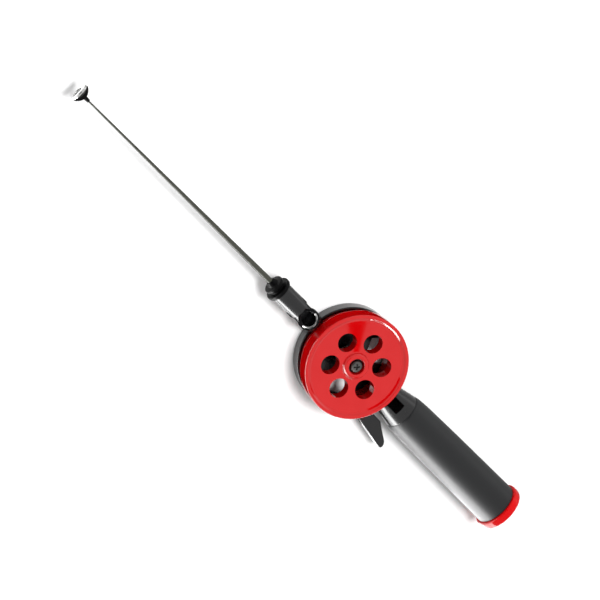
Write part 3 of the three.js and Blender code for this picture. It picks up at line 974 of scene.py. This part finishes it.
class ROD_OT_tip_guide(PieceOperator):
    """The crescent yoke on the whip's end and its thin polished ring"""

    bl_idname = "rod.tip_guide"
    bl_label = "Tip Guide"

    def make(self):
        end = TIP_RING_X
        outline = [Vector((end, 5.5))]
        outline += bow((end, 5.5), (240.2, 4.2), (238.9, 0))
        outline += bow((238.9, 0), (240.2, -4.2), (end, -5.5))
        outline += [Vector((end, -4.6))]
        outline += bow((end, -4.6), (241.9, -3.2), (241.6, 0))
        outline += bow((241.6, 0), (241.9, 3.2), (end, 4.6))
        yoke = flat_plate("tip_yoke_black", outline, ROD_Z - 1.5, ROD_Z + 1.5, 0.3)
        combine(yoke, turned_on_rod("socket", [(235.8, 0), (235.8, 1.05), (239.6, 1.35),
                                               (241.2, 1.35), (241.2, 0)], 48, 0.2, closed=False))
        cut(yoke, turned_on_rod("whip_bore", [(230, 0), (230, 0.6), (240.5, 0.6), (240.5, 0)],
                                32, 0, closed=False),
            lean_forward(turned_on_rod("ring_room", [(end, 0), (end, 7), (end + 5, 7), (end + 5, 0)],
                                       64, 0, closed=False)))
        close_up(yoke, 1e-6)
        hand_over(yoke, "whip", "frame_plastic", finish_of("plug_black"), "tip_guide_yoke",
                  weigh=True)
        ring = turned_on_rod("tip_ring_polished", [(243.32, 4.3), (243.32, 5.55), (244.92, 5.55),
                                                   (244.92, 4.3)], 72, 0.6)
        lean_forward(ring)
        hand_over(ring, "whip", "polished_steel", finish_of("ring_steel"), "tip_guide_ring")


class ROD_OT_grip(PieceOperator):
    """The hollow grip, swelling towards its butt, and the screw underneath that holds it"""

    bl_idname = "rod.grip"
    bl_label = "Grip"

    def make(self):
        grip = turned_on_rod("grip_shell_grey", [
            (-44.7, 8), (-44.7, 10.8), (-45.5, 11.2), (-47.2, 11.5), (-49.4, 11.75), (-55.4, 12.1),
            (-61.5, 12.18), (-68, 12.3), (-81, 12.5), (-94, 12.6), (-119, 12.75), (-129.8, 12.85),
            (-129.8, 10.4), (-62, 10.4), (-60, 8)], 128, 0.45)
        under = (GRIP_SCREW_X, 0, ROD_Z)
        cut(grip, rod_of("head_room", 2.7, -60, -10, 48, under),
            rod_of("thread_room", 1.3, -60, 0, 32, under))
        close_up(grip, 1e-6)
        hand_over(grip, "frame", "grip_plastic", finish_of("grip_grey"), "grip_shell", weigh=True)
        screw = turned("grip_screw_black", [(0, -6), (1, -6), (1, -10.05), (2.5, -10.05),
                                            (2.5, -10.9), (2, -11.4), (0, -11.4)], 48, 0.2,
                       closed=False)
        cut(screw, *cross_recess(11.4, 1.3, 0.8, up=-1))
        screw.location = Vector(under) * MM
        settle(screw)
        close_up(screw, 1e-6)
        hand_over(screw, "frame", "dark_steel", finish_of("black_steel"), "grip_screw")


class ROD_OT_cap(PieceOperator):
    """The glossy butt cap, whose stem goes into the grip"""

    bl_idname = "rod.cap"
    bl_label = "Butt Cap"

    def make(self):
        cap = turned_on_rod("butt_cap_red", [
            (-134.9, 0), (-134.9, 14.3), (-129.9, 14.3), (-129.9, 10.3), (-117.4, 10.3),
            (-116.8, 9.7), (-116.8, 8.7), (-132.9, 8.7), (-132.9, 0)], 128, 1.3, closed=False)
        hand_over(cap, "cap", "cap_plastic", finish_of("cap_red"), "butt_cap")


# ---- studio --------------------------------------------------------------------------------------


class ROD_OT_stage(PieceOperator):
    """The white table, the soft lights, the cards that the gloss reflects, and the camera"""

    bl_idname = "rod.stage"
    bl_label = "Studio"

    def table(self):
        deselect()
        bpy.ops.mesh.primitive_plane_add(size=12, location=(0, 0, -0.4 * MM))
        floor = bpy.context.object
        floor.name = "table"
        settle(floor)
        finish = Finish("table_white", Roughness=0.9, IOR=1.3)
        mottle = finish.noise(60.0, 2.0)
        finish.vary(Base_Color=finish.blend(mottle, (0.94, 0.94, 0.94), (0.96, 0.96, 0.96)))
        floor.data.materials.append(finish.material)

    def gloss_only(self, card, strength):
        """A card that only the gloss sees."""
        finish = Finish(card.name, Base_Color=(0, 0, 0, 1), Emission_Color=(1, 1, 1, 1),
                        Emission_Strength=strength, Specular_IOR_Level=0.0)
        card.data.materials.append(finish.material)
        card.visible_camera = card.visible_diffuse = card.visible_shadow = False
        card.visible_transmission = False

    def upright_card(self, name, corners, strength):
        deselect()
        bpy.ops.mesh.primitive_plane_add(size=1)
        card = bpy.context.object
        card.name = name
        for index, corner in zip((0, 1, 3, 2), corners):
            card.data.vertices[index].co = corner
        self.gloss_only(card, strength)

    def table_card(self, name, inner, outer, strength, side=0, near=0.0):
        """A ring on the table round the reel, or only its part to one side of the rod."""
        deselect()
        bpy.ops.mesh.primitive_circle_add(vertices=64, radius=inner, location=(0, 0, -0.1 * MM))
        card = bpy.context.object
        card.name = name
        settle(card)
        edit(card, "EDGE")
        bpy.ops.mesh.extrude_edges_move()
        grow = outer / inner
        bpy.ops.transform.resize(value=(grow, grow, 1), center_override=(0, 0, 0))
        if side:
            bpy.ops.mesh.select_all(action="SELECT")
            bpy.ops.mesh.bisect(plane_co=(0, side * near, 0), plane_no=(0, side, 0),
                                clear_inner=True)
        leave()
        self.gloss_only(card, strength)

    def cards(self, studio):
        far, wall = 0.45, 0.145
        x0, x1 = -0.7, 0.4
        foot, clear = 0.0355, 0.046
        self.table_card("dark_foot_card", foot, clear - 0.001, 0.0)
        self.table_card("bright_table_card", clear, 0.6, studio.card * 1.6, 1, 0.024)
        self.table_card("bright_low_card", clear, 0.12, studio.card * 0.25, 1, 0.0135)
        self.upright_card("bright_wall_card", [(x0, far, 0), (x1, far, 0), (x1, far, wall),
                                               (x0, far, wall)], studio.card * 2.6)
        self.table_card("dark_table_card", clear, 0.6, 0.5, -1, 0.0135)
        self.upright_card("dark_wall_card", [(x0, -far, 0), (x1, -far, 0), (x1, -far, wall),
                                             (x0, -far, wall)], 1.1)
        self.far_flag(studio)
        self.near_flag(studio)

    def near_flag(self, studio):
        """A black flag round the camera, which darkens what faces it squarely."""
        away, half_long, half_wide = 3.0, 1.1, 1.2
        view = Vector((math.sin(studio.tilt), 0, math.cos(studio.tilt)))
        along = Vector((view.z, 0, -view.x)) * half_long
        side = Vector((0, half_wide, 0))
        self.upright_card("near_flag", [view * away + a + b for a, b in (
            (along, side), (-along, side), (-along, -side), (along, -side))], 0.0)

    def far_flag(self, studio):
        """A black flag high up, which the spool's dished face mirrors as a darker wedge."""
        away, around, spread = 3.0, math.radians(-41), math.radians(13)
        slope = math.atan2(sizes().dish, 19.2 * MM)
        outward = Vector((-math.cos(around), -math.sin(around), 0))
        normal = outward * math.sin(slope) + Vector((0, 0, math.cos(slope)))
        view = Vector((math.sin(studio.tilt), 0, math.cos(studio.tilt)))
        mirrored = 2 * normal.dot(view) * normal - view
        middle = Vector((0, 0, 21 * MM)) - outward * 18 * MM + mirrored * away
        across = mirrored.cross(outward).normalized() * away * 2 * slope * math.sin(spread)
        inner, outer = outward * -0.09, outward * 0.3
        self.upright_card("far_flag", [middle + inner - across * 0.6, middle + outer - across * 1.5,
                                       middle + outer + across * 1.5, middle + inner + across * 0.6],
                          0.0)

    def lights(self, studio):
        deselect()
        bpy.ops.object.light_add(type="SUN", rotation=(math.radians(11), math.radians(4), 0))
        key = bpy.context.object
        key.name = "key_light"
        key.data.energy = studio.key
        key.data.angle = math.radians(20)
        key.visible_glossy = False

    def surround(self):
        """The room: even and pale for what it lights, and a little brighter in the gloss."""
        world = bpy.data.worlds.new("pale_room")
        bpy.context.scene.world = world
        world.use_nodes = True
        tree = world.node_tree
        background = tree.nodes["Background"]
        path = tree.nodes.new("ShaderNodeLightPath")
        light = Number(tree, path.outputs["Is Glossy Ray"])
        connect(tree, background.inputs["Strength"], 0.55 + light * 0.12)
        background.inputs["Color"].default_value = (1, 1, 1, 1)

    def camera(self, studio):
        across = Vector((math.cos(studio.tilt), 0, -math.sin(studio.tilt)))
        back = Vector((math.sin(studio.tilt), 0, math.cos(studio.tilt)))
        turn = Matrix.Rotation(studio.roll, 3, back)
        side = turn @ (-across - Vector((0, 1, 0))).normalized()
        up = back.cross(side)
        spool_face = Vector((0, 0, 22.5 * MM))
        right_of_middle, below_middle = 31.85 * MM, 37.55 * MM
        aim = spool_face - side * right_of_middle + up * below_middle
        place = aim + back * studio.distance
        deselect()
        bpy.ops.object.camera_add(location=place)
        camera = bpy.context.object
        camera.name = "camera"
        axes = Matrix((side, up, back)).transposed()
        camera.rotation_euler = axes.to_euler()
        sensor = 36.0
        camera.data.sensor_width = sensor
        camera.data.lens = sensor * studio.distance / studio.width
        camera.data.clip_end = 100
        bpy.context.scene.camera = camera

    def make(self):
        studio = bpy.context.scene.rod_studio
        self.table()
        self.cards(studio)
        self.lights(studio)
        self.surround()
        self.camera(studio)
        bpy.context.scene.view_settings.view_transform = "Standard"


# ---- panel ---------------------------------------------------------------------------------------

PIECES = (
    ROD_OT_frame, ROD_OT_spool_back, ROD_OT_spool_front, ROD_OT_axle, ROD_OT_trigger,
    ROD_OT_line_guide, ROD_OT_whip, ROD_OT_tip_guide, ROD_OT_grip, ROD_OT_cap, ROD_OT_stage,
)
GROUPS = {"rod_shape": RodShape, "rod_colours": RodColours, "rod_studio": RodStudio}


class ROD_PT_panel(bpy.types.Panel):
    """The rod's sizes, colours and pieces"""

    bl_idname = "ROD_PT_panel"
    bl_label = "Ice Fishing Rod"
    bl_space_type = "VIEW_3D"
    bl_region_type = "UI"
    bl_category = "Rod"

    def draw(self, context):
        for name in GROUPS:
            group = getattr(context.scene, name)
            box = self.layout.box()
            for prop in group.__annotations__:
                box.prop(group, prop)
        column = self.layout.column(align=True)
        for piece in PIECES:
            column.operator(piece.bl_idname)


def register():
    for kind in (*GROUPS.values(), *PIECES, ROD_PT_panel):
        bpy.utils.register_class(kind)
    for name, kind in GROUPS.items():
        setattr(bpy.types.Scene, name, PointerProperty(type=kind))


def unregister():
    for name in GROUPS:
        delattr(bpy.types.Scene, name)
    for kind in reversed((*GROUPS.values(), *PIECES, ROD_PT_panel)):
        bpy.utils.unregister_class(kind)


def main():
    register()
    for piece in PIECES:
        area, name = piece.bl_idname.split(".")
        getattr(getattr(bpy.ops, area), name)()


if __name__ == "__main__":
    main()
